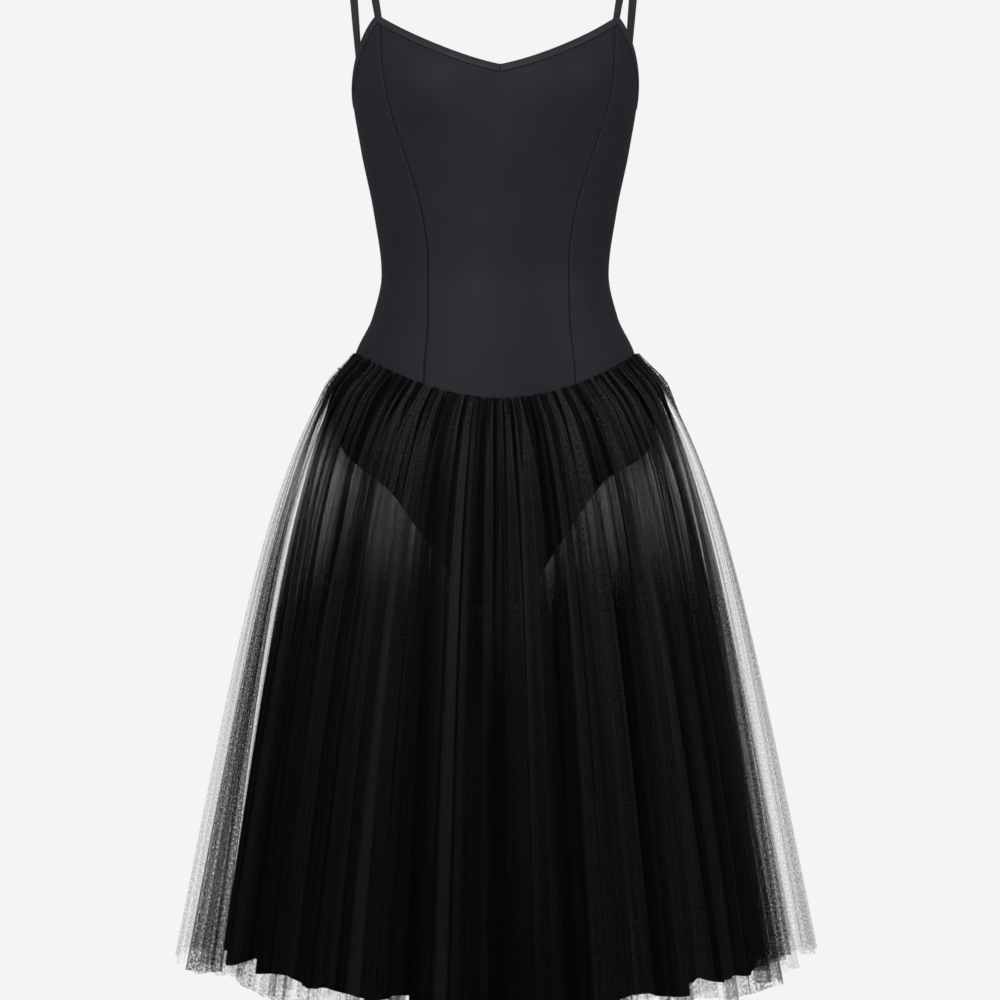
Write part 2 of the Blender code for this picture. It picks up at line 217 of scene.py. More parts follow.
def angle_of(across, height):
    """The angle from the nearer centre line at which the surface is that far across."""
    return np.arcsin(np.clip(across / half_width(height), 0.0, 1.0))


def from_front(angle):
    """An angle of the full turn as its distance from the front centre, on either side."""
    return np.where(angle > math.pi, 2 * math.pi - angle, np.abs(angle))


def neckline(angle):
    """The height of the front neckline, a shallow V between the straps."""
    across = np.sin(np.minimum(angle, QUARTER)) * half_width(NECK_DIP)
    return NECK_DIP + NECK_SLOPE * across + NECK_CURVE * across**2


CORNER_HEIGHT = float(neckline(STRAP_ANGLE))


def armhole(angle):
    """The height of the edge from the front strap under the arm to the back strap."""
    front = np.clip((angle - STRAP_ANGLE) / (QUARTER - STRAP_ANGLE), 0.0, 1.0)
    back = np.clip((angle - QUARTER) / (BACK_STRAP_ANGLE - QUARTER), 0.0, 1.0)
    fall = (UNDERARM_HEIGHT - CORNER_HEIGHT) * front**ARMHOLE_POWER
    rise = (BACK_STRAP_HEIGHT - UNDERARM_HEIGHT) * back * back * (3 - 2 * back)
    return CORNER_HEIGHT + fall + rise


def back_scoop(angle):
    """The height of the scooped back edge between the straps."""
    share = np.clip((math.pi - angle) / (math.pi - BACK_STRAP_ANGLE), 0.0, 1.0)
    return BACK_DIP + (BACK_STRAP_HEIGHT - BACK_DIP) * share**BACK_SCOOP_POWER


def upper_edge(angle):
    """The height of the garment's upper edge all the way round."""
    angle = from_front(angle)
    back = np.where(angle > BACK_STRAP_ANGLE, back_scoop(angle), armhole(angle))
    return np.where(angle < STRAP_ANGLE, neckline(angle), back)


def below_edge(edge, angle, distance):
    """The height of a line that runs a distance below an edge, square to it."""
    step = 0.01
    level = edge(angle)
    along = np.linalg.norm(form(angle + step, level) - form(angle - step, level), axis=-1)
    slope = np.arctan2(np.abs(edge(angle + step) - edge(angle - step)), along)
    return level - distance / np.cos(slope)


def princess_angle(height):
    """The princess seam's angle from the front centre."""
    return angle_of(princess_across(height), height)


def side_seam(height):
    """The side seam's angle from the front centre, the same at every height."""
    return QUARTER + 0 * height


def front_leg_angle(height):
    """The front leg line's angle from the front centre. Above the leg it is the side seam."""
    return np.where(height > LEG_TOP, QUARTER, angle_of(front_leg_across(height), height))


def back_leg_angle(height):
    """The back leg line's angle from the front centre. Above the leg it is the side seam."""
    return np.where(height > LEG_TOP, QUARTER, math.pi - angle_of(back_leg_across(height), height))


def front_leg_height(angle):
    """The height of the front leg line at an angle."""
    high, low = np.full_like(angle, LEG_TOP), np.full_like(angle, CROTCH_HEIGHT)
    for _ in range(30):
        middle = (high + low) / 2
        above = front_leg_angle(middle) > np.abs(angle)
        high, low = np.where(above, middle, high), np.where(above, low, middle)
    return middle


def add_piece(name, points, material, closed=False, coordinates=None):
    """A sheet from a grid of points, rows running down and columns to the wearer's left."""
    rows, columns = points.shape[:2]
    index = np.arange(rows * columns).reshape(rows, columns)
    beside = np.roll(index, -1, axis=1)
    if not closed:
        index, beside = index[:, :-1], beside[:, :-1]
    quads = np.stack([index[:-1], index[1:], beside[1:], beside[:-1]], axis=-1).reshape(-1, 4)
    mesh = bpy.data.meshes.new(name)
    mesh.from_pydata(points.reshape(-1, 3).tolist(), [], quads.tolist())
    mesh.materials.append(material)
    mesh.shade_smooth()
    if coordinates is not None:
        layer = mesh.uv_layers.new(name="cloth")
        corners = np.zeros(len(mesh.loops), np.int32)
        mesh.loops.foreach_get("vertex_index", corners)
        flat = coordinates.reshape(-1, 2)[corners]
        if closed:
            flat = flat.reshape(-1, 4, 2)
            wrapped = flat[:, :, 0].max(axis=1) - flat[:, :, 0].min(axis=1) > 0.5
            across = flat[wrapped, :, 0]
            flat[wrapped, :, 0] = np.where(across < 0.5, 1.0 + across, across)
        layer.data.foreach_set("uv", flat.reshape(-1).astype(np.float32))
    piece = bpy.data.objects.new(name, mesh)
    scene.collection.objects.link(piece)
    return piece


def thicken(piece, thickness):
    """Gives a sheet its thickness, inwards from its outside face."""
    wall = piece.modifiers.new("wall", "SOLIDIFY")
    wall.thickness = thickness
    wall.offset = -1.0


class Wire:
    """A socket of a node tree that takes part in sums."""

    def __init__(self, recipe, socket):
        self.recipe = recipe
        self.socket = socket

    def math(self, operation, first, second):
        node = self.recipe.tree.nodes.new("ShaderNodeMath")
        node.operation = operation
        for slot, value in zip(node.inputs, (first, second)):
            self.recipe.feed(slot, value)
        return Wire(self.recipe, node.outputs[0])

    def __add__(self, other):
        return self.math("ADD", self, other)

    def __radd__(self, other):
        return self.math("ADD", other, self)

    def __sub__(self, other):
        return self.math("SUBTRACT", self, other)

    def __rsub__(self, other):
        return self.math("SUBTRACT", other, self)

    def __mul__(self, other):
        return self.math("MULTIPLY", self, other)

    def __rmul__(self, other):
        return self.math("MULTIPLY", other, self)

    def __truediv__(self, other):
        return self.math("DIVIDE", self, other)

    def cosine(self):
        return self.math("COSINE", self, 0.0)

    def at_most(self, limit):
        return self.math("MINIMUM", self, limit)


class Recipe:
    """A node tree under construction."""

    def __init__(self, tree):
        self.tree = tree

    def feed(self, slot, value):
        if isinstance(value, Wire):
            self.tree.links.new(value.socket, slot)
        else:
            slot.default_value = value

    def node(self, kind, settings=None, **sockets):
        """Adds a node: its settings first, then the values or links of its sockets."""
        node = self.tree.nodes.new(kind)
        for key, value in (settings or {}).items():
            setattr(node, key, value)
        for key, value in sockets.items():
            self.feed(node.inputs[key.replace("_", " ")], value)
        return node

    def wire(self, node, output=0):
        return Wire(self, node.outputs[output])

    def add(self, kind, settings=None, output=0, **sockets):
        return self.wire(self.node(kind, settings, **sockets), output)


class Finish(Recipe):
    """A material under construction."""

    def __init__(self, name):
        self.material = bpy.data.materials.new(name)
        self.material.use_nodes = True
        super().__init__(self.material.node_tree)
        self.surface = self.tree.nodes["Principled BSDF"]

    def set(self, **sockets):
        for key, value in sockets.items():
            self.feed(self.surface.inputs[key.replace("_", " ")], value)
        return self

    def ramp(self, value, low, high, start, end):
        """A soft step from start to end as the value goes from low to high."""
        node = self.node("ShaderNodeMapRange", {"interpolation_type": "SMOOTHSTEP"}, Value=value)
        for slot, number in zip(("From Min", "From Max", "To Min", "To Max"), (low, high, start, end)):
            self.feed(node.inputs[slot], number)
        return self.wire(node)


MOTTLE_SCALE = 34.0
KNIT_SCALE = 1400.0
KNIT_DEPTH = 0.0003
DARK_TONE, LIGHT_TONE = 0.84, 1.16
MIX_COLOURS_IN = (6, 7)
MIX_COLOUR_OUT = 2


def jersey_finish(name, colour, roughness):
    """Fine knitted jersey: a faint mottle, a hair-fine grain as bump and a low sheen."""
    finish = Finish(name)
    place = finish.add("ShaderNodeTexCoord", output="Object")
    mottle = finish.add("ShaderNodeTexNoise", Vector=place, Scale=MOTTLE_SCALE, Detail=3.0)
    grain = finish.add("ShaderNodeTexNoise", Vector=place, Scale=KNIT_SCALE, Detail=1.0)
    shade = finish.node("ShaderNodeMix", {"data_type": "RGBA"}, Factor=mottle * 0.8 + grain * 0.2)
    for slot, tone in zip(MIX_COLOURS_IN, (DARK_TONE, LIGHT_TONE)):
        shade.inputs[slot].default_value = (*(tone * part for part in colour), 1.0)
    bump = finish.add("ShaderNodeBump", Strength=0.12, Distance=KNIT_DEPTH, Height=grain)
    finish.set(Base_Color=finish.wire(shade, MIX_COLOUR_OUT), Roughness=roughness, Normal=bump)
    finish.set(Specular_IOR_Level=0.08, Sheen_Weight=0.01, Sheen_Roughness=0.4)
    return finish.material


jersey = jersey_finish("black_jersey", (0.0205, 0.0195, 0.0262), 0.55)


def seam_dip(distance):
    """How far the cloth turns in beside a seam."""
    return SEAM_DEPTH * np.clip(1 - distance / SEAM_WIDTH, 0.0, 1.0) ** 2


def add_panel(name, left, right, columns, rows, bottom=None, seams=(True, True)):
    """A leotard panel between two seams, each an angle for every height, under the bindings."""
    share = np.linspace(0.0, 1.0, columns)[None, :]
    down = np.linspace(0.0, 1.0, rows)[:, None]
    if bottom is None:
        down = np.sin(down * QUARTER)
    height = np.full((rows, columns), FIRST_HEIGHT)
    for _ in range(SETTLING_ROUNDS):
        angle = left(height) + (right(height) - left(height)) * share
        top = upper_edge(angle) - 0.5 * BINDING_WIDTH
        low = CROTCH_HEIGHT if bottom is None else bottom(angle)
        height = 0.5 * height + 0.5 * (top + (low - top) * down)
    across = half_width(height) * np.abs(right(height) - left(height))
    dip = seam_dip(share * across) * seams[0] + seam_dip((1 - share) * across) * seams[1]
    points = form(angle, height) + form_normal(angle, height) * (JERSEY_FACE - dip)[..., None]
    piece = add_piece(name, points, jersey)
    thicken(piece, JERSEY_THICKNESS)
    return piece


def seam_room(height):
    """The angle that each panel stops short of its seam, so that the darkened band behind shows as a thin
    dark line of painted shade.
    """
    return SEAM_GAP / half_width(height)


def centre_side(height):
    """The centre panel's side edge: the princess seam, then the leg line."""
    return np.minimum(princess_angle(height) - seam_room(height), front_leg_angle(height))


def side_start(height):
    """The side panel's edge at the princess seam."""
    return princess_angle(height) + seam_room(height)


panels = {
    "front_centre_panel": add_panel("front_centre_cloth", lambda h: -centre_side(h), centre_side, 97, 170),
    "front_side_panel_left": add_panel(
        "front_side_cloth_left", side_start, side_seam, 41, 140, front_leg_height
    ),
    "front_side_panel_right": add_panel(
        "front_side_cloth_right", lambda h: -side_seam(h), lambda h: -side_start(h), 41, 140, front_leg_height
    ),
    "back_panel": add_panel(
        "back_cloth", back_leg_angle, lambda h: 2 * math.pi - back_leg_angle(h), 121, 150
    ),
}
for node, piece in panels.items():
    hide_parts(node)
    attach(piece, "root")

# Behind each seam the two plies are turned in and overlocked together, a flat band 7 mm wide, its colour
# painted far darker than the jersey: painted shade along the seam line.
ALLOWANCE_WIDTH = 0.0070
ALLOWANCE_THICKNESS = 0.0004
ALLOWANCE_FACE = 0.0003
PRINCESS_END = -0.664

# The band's colour is painted shade: much darker than the jersey, so that the seam reads as a shaded groove.
overlock = jersey_finish("black_overlock", (0.0050, 0.0048, 0.0055), 0.7)


def add_allowance(name, seam, hand, bottom, rows=120, columns=5):
    """The band behind a seam, from the upper edge down to a height."""
    down = np.linspace(0.0, 1.0, rows)[:, None]
    share = np.linspace(-0.5, 0.5, columns)[None, :]
    height = np.full((rows, columns), FIRST_HEIGHT)
    for _ in range(SETTLING_ROUNDS):
        angle = hand * (seam(height) + share * ALLOWANCE_WIDTH / half_width(height))
        top = upper_edge(angle) - 0.5 * BINDING_WIDTH
        height = 0.5 * height + 0.5 * (top + (bottom - top) * down)
    points = form(angle, height) + form_normal(angle, height) * ALLOWANCE_FACE
    piece = add_piece(name, points if hand > 0 else points[:, ::-1], overlock)
    thicken(piece, ALLOWANCE_THICKNESS)
    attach(piece, "root")


for side, hand in (("left", 1), ("right", -1)):
    add_allowance(f"princess_allowance_{side}", princess_angle, hand, PRINCESS_END)
    add_allowance(f"side_allowance_{side}", side_seam, hand, LEG_TOP)

# The upper edges are bound with a folded strip of shiny elastic, 8 mm wide. The front strip is joined at
# the point of the V, and each armhole's strip runs from the front strap to the back one.
BINDING_FACE = 0.0019
BINDING_INSIDE = 0.0006
HALF_JOIN = 0.0012
BINDING_PROFILE = ((0.0, 0.0), (0.02, 0.75), (0.12, 1.0), (0.5, 1.04), (0.88, 1.0), (0.97, 0.8), (1.0, 0.45))
BINDING_INSIDE_ROWS = (0.9, 0.1)

edging = jersey_finish("black_edging", (0.031, 0.0290, 0.0345), 0.42)


def add_binding(name, node, edge, start, end, steps):
    """A strip folded over an upper edge, between two angles: its outside face, and the same width inside."""
    angle = np.linspace(start, end, steps)
    near = from_front(angle)
    rows = []
    for share, lift in BINDING_PROFILE:
        height = below_edge(edge, near, share * BINDING_WIDTH)
        rows.append(form(angle, height) + form_normal(angle, height) * (lift * BINDING_FACE))
    for share in BINDING_INSIDE_ROWS:
        height = below_edge(edge, near, share * BINDING_WIDTH)
        rows.append(form(angle, height) - form_normal(angle, height) * BINDING_INSIDE)
    rows.append(rows[0])
    piece = add_piece(name, np.array(rows), edging)
    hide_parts(node)
    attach(piece, "root")


BACK_STRAP_OTHER = 2 * math.pi - BACK_STRAP_ANGLE
add_binding("neck_edging_left", "neck_binding_left", neckline, HALF_JOIN, STRAP_ANGLE, 80)
add_binding("neck_edging_right", "neck_binding_right", neckline, -STRAP_ANGLE, -HALF_JOIN, 80)
add_binding("armhole_edging_left", "armhole_binding_left", armhole, STRAP_ANGLE, BACK_STRAP_ANGLE, 90)
add_binding("armhole_edging_right", "armhole_binding_right", armhole, -BACK_STRAP_ANGLE, -STRAP_ANGLE, 90)
add_binding("back_neck_edging", "back_neck_binding", back_scoop, BACK_STRAP_ANGLE, BACK_STRAP_OTHER, 160)

# The two shoulder straps are the same elastic, closed into a flat band. Each comes up from the front
# corner, goes over the shoulder and down to the back edge near the arm.
STRAP_WIDTH = 0.0088
STRAP_THICKNESS = 0.0016
STRAP_TOP_ACROSS = 0.152
STRAP_RISE = 0.110
STRAP_TURNS = (10, 35, 60, 90, 120, 145, 170)
STRAP_TUCK = 0.007
STRAP_LIFT = 0.0006
STRAP_STEPS = 14
STRAP_SECTION = ((-0.5, -0.5), (-0.46, -0.06), (-0.3, 0.0), (0.3, 0.0), (0.46, -0.06), (0.5, -0.5))


def strap_route():
    """Points and facings up the left strap's front run, over the shoulder and down the back."""
    front = form(STRAP_ANGLE, CORNER_HEIGHT)
    back = form(BACK_STRAP_ANGLE, BACK_STRAP_HEIGHT)
    middle, reach = (front[1] + back[1]) / 2, (back[1] - front[1]) / 2
    points, facings = [], []

    def sew(angle, height):
        """Lays the strap on the leotard's surface."""
        facing = form_normal(np.array(angle), np.array(height))
        points.append(form(angle, height) + facing * STRAP_LIFT)
        facings.append(facing)

    sew(STRAP_ANGLE, CORNER_HEIGHT - STRAP_TUCK)
    sew(STRAP_ANGLE, CORNER_HEIGHT)
    for turn in STRAP_TURNS:
        lean = math.radians(turn)
        facing = np.array([0.0, -math.cos(lean), math.sin(lean)])
        fall = 1 - math.sin(lean)
        end, bow = (front, 1.0) if turn < 90 else (back, 2.0)
        height = -STRAP_RISE * fall
        across = STRAP_TOP_ACROSS + (end[0] - STRAP_TOP_ACROSS) * (height / end[2]) ** bow
        points.append(np.array([across, middle + reach * facing[1], height]))
        facings.append(facing)
    sew(BACK_STRAP_ANGLE, BACK_STRAP_HEIGHT)
    sew(BACK_STRAP_ANGLE, BACK_STRAP_HEIGHT - STRAP_TUCK)
    return np.array(points), np.array(facings)


def smooth_line(route, per_span):
    """A smooth line through the route's points."""
    padded = np.concatenate([route[:1], route, route[-1:]])
    t = (np.arange(per_span) / per_span)[:, None]
    spans = [
        0.5 * (2 * b + (c - a) * t + (2 * a - 5 * b + 4 * c - d) * t**2 + (3 * b - a - 3 * c + d) * t**3)
        for a, b, c, d in zip(padded, padded[1:], padded[2:], padded[3:])
    ]
    return np.concatenate(spans + [route[-1:]])


def add_strap(name, node, hand):
    """A flat band along the strap's route, with hand 1 for the left and -1 for the right."""
    points, facings = strap_route()
    line, facing = smooth_line(points, STRAP_STEPS), smooth_line(facings, STRAP_STEPS)
    along = np.gradient(line, axis=0)
    side = np.cross(along, facing)
    side /= np.linalg.norm(side, axis=1, keepdims=True)
    facing = np.cross(side, along)
    facing /= np.linalg.norm(facing, axis=1, keepdims=True)
    outline = list(STRAP_SECTION) + [(across, -1.0 - lift) for across, lift in reversed(STRAP_SECTION[1:-1])]
    ring = [line - side * across * STRAP_WIDTH + facing * lift * STRAP_THICKNESS for across, lift in outline]
    grid = np.stack(ring, axis=1)
    if hand < 0:
        grid = (grid * np.array([-1.0, 1.0, 1.0]))[:, ::-1]
    piece = add_piece(name, grid, edging, closed=True)
    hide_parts(node)
    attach(piece, "root")


add_strap("strap_band_left", "strap_left", 1)
add_strap("strap_band_right", "strap_right", -1)

# Small stitches in black thread hold the bindings down along their lower edges, one every 2.4 mm, and a
# short bar of them closes the join at the point of the V. The thread is painted much darker than the jersey,
# so the row under each binding also stands for the shadow under the binding's lower edge: painted shadow.
STITCH_PITCH = 0.0024
STITCH_LENGTH = 0.0019
STITCH_THICKNESS = 0.0007
STITCH_SEED = 5
STITCH_END_GAP = 0.02
STITCH_SINK = 0.0002
JOIN_TOP_GAP = 0.0004

# The thread's colour is painted darker than the jersey: along the bindings' lower edges it is painted shadow.
thread = jersey_finish("black_thread", (0.0050, 0.0048, 0.0055), 0.6)


def stitch_recipe():
    """Geometry nodes that lay one stitch after another along a line."""
    recipe = Recipe(bpy.data.node_groups.new("stitch_row", "GeometryNodeTree"))
    face = recipe.tree.interface
    face.new_socket("Line", in_out="INPUT", socket_type="NodeSocketGeometry")
    for label in ("Pitch", "Length", "Thickness"):
        face.new_socket(label, in_out="INPUT", socket_type="NodeSocketFloat")
    face.new_socket("Seed", in_out="INPUT", socket_type="NodeSocketInt")
    face.new_socket("Thread", in_out="INPUT", socket_type="NodeSocketMaterial")
    face.new_socket("Stitches", in_out="OUTPUT", socket_type="NodeSocketGeometry")
    entry = recipe.node("NodeGroupInput")
    line = recipe.add("GeometryNodeMeshToCurve", Mesh=recipe.wire(entry, "Line"))
    pitch = recipe.wire(entry, "Pitch")
    points = recipe.add("GeometryNodeResampleCurve", {"mode": "LENGTH"}, Curve=line, Length=pitch)
    bead = recipe.add("GeometryNodeMeshIcoSphere", Radius=0.5, Subdivisions=2)
    tangent = recipe.add("GeometryNodeInputTangent")
    lengthwise = recipe.add("FunctionNodeAlignRotationToVector", {"axis": "Z"}, Vector=tangent)
    jitter = recipe.add("FunctionNodeRandomValue", output=1, Seed=recipe.wire(entry, "Seed"))
    thin = recipe.wire(entry, "Thickness")
    long = recipe.wire(entry, "Length") * (jitter * 0.3 + 0.85)
    size = recipe.add("ShaderNodeCombineXYZ", X=thin, Y=thin, Z=long)
    sewn = recipe.add(
        "GeometryNodeInstanceOnPoints", Points=points, Instance=bead, Rotation=lengthwise, Scale=size
    )
    solid = recipe.add("GeometryNodeRealizeInstances", Geometry=sewn)
    dressed = recipe.add("GeometryNodeSetMaterial", Geometry=solid, Material=recipe.wire(entry, "Thread"))
    recipe.tree.links.new(dressed.socket, recipe.node("NodeGroupOutput").inputs["Stitches"])
    return recipe.tree


stitch_row = stitch_recipe()


def add_stitches(name, route, pitch=STITCH_PITCH, length=STITCH_LENGTH, thickness=STITCH_THICKNESS):
    """A row of stitches along a line of points, kept as a mesh."""
    mesh = bpy.data.meshes.new(name)
    mesh.from_pydata(route.tolist(), [(i, i + 1) for i in range(len(route) - 1)], [])
    guide = bpy.data.objects.new(name + "_line", mesh)
    scene.collection.objects.link(guide)
    row = guide.modifiers.new("stitches", "NODES")
    row.node_group = stitch_row
    values = {"Pitch": pitch, "Length": length, "Thickness": thickness, "Seed": STITCH_SEED, "Thread": thread}
    for item in stitch_row.interface.items_tree:
        if item.name in values:
            row[item.identifier] = values[item.name]
    ready = guide.evaluated_get(bpy.context.evaluated_depsgraph_get())
    piece = bpy.data.objects.new(name, bpy.data.meshes.new_from_object(ready))
    scene.collection.objects.link(piece)
    bpy.data.objects.remove(guide)
    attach(piece, "root")


def edge_line(edge, start, end, distance, lift):
    """A line that runs beside an upper edge, on the outside of its binding."""
    angle = np.linspace(start, end, 160)
    height = below_edge(edge, from_front(angle), distance)
    return form(angle, height) + form_normal(angle, height) * lift


for name, edge, start, end in (
    ("neck_stitches_left", neckline, 0.0, STRAP_ANGLE),
    ("neck_stitches_right", neckline, -STRAP_ANGLE, 0.0),
    ("armhole_stitches_left", armhole, STRAP_ANGLE, BACK_STRAP_ANGLE),
    ("armhole_stitches_right", armhole, -BACK_STRAP_ANGLE, -STRAP_ANGLE),
    ("back_stitches", back_scoop, BACK_STRAP_ANGLE, BACK_STRAP_OTHER),
):
    start, end = start + STITCH_END_GAP, end - STITCH_END_GAP
    line = edge_line(edge, start, end, BINDING_WIDTH + STITCH_SINK, JERSEY_FACE + STITCH_SINK)
    add_stitches(name, line)
join = np.linspace(NECK_DIP - JOIN_TOP_GAP, NECK_DIP - BINDING_WIDTH, 24)
join_line = form(0.0, join) + form_normal(0.0, join) * BINDING_FACE
add_stitches("join_stitches", join_line, pitch=0.0012, length=0.0016, thickness=0.0009)

# The skirt is soft tulle, cut in wide straight lengths and gathered along one edge into the basque seam.
# Hundreds of tiny gathers there open into long uneven cones, and every level keeps the cloth's whole width.
BASQUE_SIDE = -0.5127
BASQUE_FRONT_DIP = 0.0480
BASQUE_BACK_DIP = 0.0160
HEM_DIP = 0.0300
FLARE_STRAIGHT = 0.62
FLARE_ROUND = 0.18
SKIRT_LENGTH = 0.62
NET_CELL = 0.0015
HOLE_LEVEL = 1.2
THREAD_LEVEL = -1.3
GRAIN_SIZE = 0.0024
GRAIN_STRENGTH = 3.4
STREAK_SIZE = 0.010
STREAK_STRENGTH = 2.6
TULLE_COLUMNS = 2400
TULLE_ROWS = 40
FLUTE_SWING = 0.42
FLUTE_COUNT = 26
HEM_WAVE = 0.0090
HEM_NICK = 0.0015
SEAM_FOLD = 0.06
DRIFT_FOLDS = 9
CONE_GROWTH = 1.15
GATHERED_FROM = 0.80
DENSE_BELOW = 0.32
SHEER_ABOVE = 0.84
GATHERED_DENSITY = 2.6
GATHER_STAND = 2.4
GATHER_DEPTH = 0.9
GATHER_COUNT = 70
SHORTEST_GATHER = 0.07
GATHER_SPREAD = 0.11
# How much more thread the gather ridges get than their valleys near the seam: painted light on the ridges,
# painted shade in the valleys.
RIDGE_PAINTED_SHADE = 0.5
SCALLOP = 0.0012
CONE_POINT = 0.30
CONE_EDGE_HIGHLIGHT = 1.6
CONE_SHARPNESS = 2.2
CONE_FOLD = 0.9
GAP_THREAD = 0.12
RING_STEPS = 720
COLUMN_PLACES = (np.arange(TULLE_COLUMNS) + 0.5) / TULLE_COLUMNS

# The thicker cones and thin gaps, listed one by one, the front's after its look: angle and spread in degrees,
# start and end as shares of the skirt's length, and the change in the thread.
CREASES = (
    (-6.5, 1.7, 0.0, 0.45, -0.9),
    (-2.3, 1.8, 0.50, 1.3, -0.7),
    (-5.0, 9.0, 0.45, 1.3, -0.5),
    (4.0, 2.6, 0.0, 0.80, 0.5),
    (12.0, 2.2, 0.0, 1.3, -0.7),
    (21.0, 4.5, 0.0, 1.3, 0.9),
    (29.0, 1.8, 0.1, 1.3, -0.7),
    (36.0, 3.0, 0.1, 1.3, 0.5),
    (-12.0, 2.6, 0.0, 1.3, 0.6),
    (-19.0, 2.2, 0.1, 1.3, -0.7),
    (-27.0, 4.0, 0.0, 1.3, 0.6),
    (-38.0, 2.4, 0.2, 1.3, -0.6),
    (150.0, 2.0, 0.0, 1.3, -0.8),
    (160.0, 4.5, 0.0, 1.3, 0.8),
    (171.0, 2.0, 0.0, 0.60, -0.8),
    (183.0, 2.2, 0.4, 1.3, -0.7),
    (196.0, 4.0, 0.0, 1.3, 0.7),
    (207.0, 2.2, 0.0, 1.3, -0.7),
    (75.0, 2.6, 0.0, 1.3, -0.6),
    (88.0, 4.0, 0.0, 1.3, 0.6),
    (272.0, 4.0, 0.0, 1.3, 0.6),
    (284.0, 2.4, 0.0, 1.3, -0.6),
)


def basque_line(angle):
    """The height of the seam where the skirt is sewn to the leotard."""
    dip = np.where(np.cos(angle) > 0, BASQUE_FRONT_DIP, BASQUE_BACK_DIP)
    return BASQUE_SIDE - dip * np.cos(QUARTER * np.sin(angle))


def flare(share):
    """How much of the way out to the hem the skirt has come at a share of its length."""
    rounded = (1 - np.exp(-share / FLARE_ROUND)) / (1 - np.exp(-1 / FLARE_ROUND))
    return FLARE_STRAIGHT * share + (1 - FLARE_STRAIGHT) * rounded


def ramp(share, start, end):
    """A soft step from 0 to 1 between two shares of the skirt's length."""
    t = np.clip((share - start) / (end - start), 0.0, 1.0)
    return t * t * (3 - 2 * t)


def tulle_finish(name, colour, coverage, hem_coverage, width, unevenness):
    """Net of hexagonal holes. Coverage is how much of the cloth is thread, at the top and at the hem."""
    finish = Finish(name)
    parts = finish.node("ShaderNodeSeparateXYZ", Vector=finish.add("ShaderNodeUVMap", {"uv_map": "cloth"}))
    share = finish.wire(parts, "Y")
    across, up = finish.wire(parts, "X") * width, share * SKIRT_LENGTH
    turn = 2 * math.pi / NET_CELL
    first, second = across * turn, up * (turn * math.sqrt(3) / 2)
    cells = first.cosine() + (first * 0.5 + second).cosine() + (first * 0.5 - second).cosine()
    speck = finish.add("ShaderNodeCombineXYZ", X=across / GRAIN_SIZE, Y=up / GRAIN_SIZE)
    grain = finish.add("ShaderNodeTexNoise", Vector=speck, Scale=1.0, Detail=0.0)
    line = finish.add("ShaderNodeCombineXYZ", X=across / STREAK_SIZE, Y=up * 2.0)
    streak = finish.add("ShaderNodeTexNoise", Vector=line, Scale=1.0, Detail=2.0)
    thread = finish.ramp(cells, HOLE_LEVEL, THREAD_LEVEL, 1 - 0.6 * unevenness, 1 + 0.5 * unevenness)
    fullness_and_painted_light = finish.add("ShaderNodeAttribute", {"attribute_name": "fullness_and_painted_light"}, output="Fac")
    density = finish.ramp(share, DENSE_BELOW, SHEER_ABOVE, hem_coverage, coverage)
    gathered = finish.ramp(share, GATHERED_FROM, 1.0, 1.0, GATHERED_DENSITY)
    specks = (grain - 0.5) * (GRAIN_STRENGTH * unevenness)
    uneven = specks + (streak - 0.5) * (STREAK_STRENGTH * unevenness) + 1.0
    finish.set(Base_Color=(*colour, 1.0), Roughness=0.75)
    finish.set(Alpha=(density * gathered * thread * uneven * fullness_and_painted_light).at_most(1.0))
    finish.set(Specular_IOR_Level=0.05)
    return finish.material


def share_out(widths):
    """Cuts the cloth into parts of these widths: where each ends, and the part that each column is in."""
    ends = np.cumsum(widths) / widths.sum()
    return ends, np.minimum(np.searchsorted(ends, COLUMN_PLACES), len(widths) - 1)


def soften(line, rounding):
    """A line across the cloth with its corners rounded."""
    kept = np.exp(-((np.fft.rfftfreq(TULLE_COLUMNS) * rounding) ** 2) * 20)
    return np.fft.irfft(np.fft.rfft(line) * kept, TULLE_COLUMNS)


def zigzag(draw, folds, low, high, rounding):
    """Headings across the cloth that turn from side to side at uneven fold lines."""
    panel = share_out(draw.uniform(0.45, 1.55, 2 * folds))[1]
    side = np.where(panel % 2 == 0, 1.0, -1.0)
    return soften(side * draw.uniform(low, high, 2 * folds)[panel], rounding)


def pleats(draw, folds, rounding):
    """Two lines of headings: broad faces that stay near the ring's way, and returns that turn under them."""
    count = 2 * folds
    is_face = np.arange(count) % 2 == 0
    widths = np.where(is_face, draw.uniform(0.7, 2.3, count), draw.uniform(0.35, 1.15, count))
    panel = share_out(widths)[1]
    face = is_face * draw.uniform(-0.7, 0.7, count)
    turned = ~is_face * draw.uniform(0.8, 1.2, count) * draw.choice([-1.0, 1.0], count)
    return soften(face[panel], rounding), soften(turned[panel], rounding)


def crease(angle, down):
    """How much the thread changes at angles and a share of the length, by the listed cones."""
    total = np.zeros_like(angle)
    for middle, spread, start, end, change in CREASES:
        away = np.degrees(np.angle(np.exp(1j * (angle - math.radians(middle)))))
        reach = ramp(down, start - 0.1, start + 0.06) * (1 - ramp(down, end - 0.1, end + 0.1))
        total += change * np.exp(-((away / spread) ** 2)) * reach
    return total


def cone_cells(draw, count):
    """Cuts the cloth into cells, one cone in each. Gives, for each column, its place in the cell, the cell's
    columns, and the cone's lean, tone, opening length and half width."""
    ends, cell = share_out(draw.uniform(0.4, 1.6, count))
    starts = np.concatenate([[0.0], ends[:-1]])
    size = (ends - starts)[cell]
    lean = draw.uniform(-0.12, 0.12, count)[cell]
    tone = draw.uniform(0.75, 1.45, count)[cell]
    opening = draw.uniform(0.10, 0.60, count)[cell]
    full = draw.uniform(0.34, 0.47, count)[cell]
    return (COLUMN_PLACES - starts[cell]) / size - 0.5, size * TULLE_COLUMNS, lean, tone, opening, full


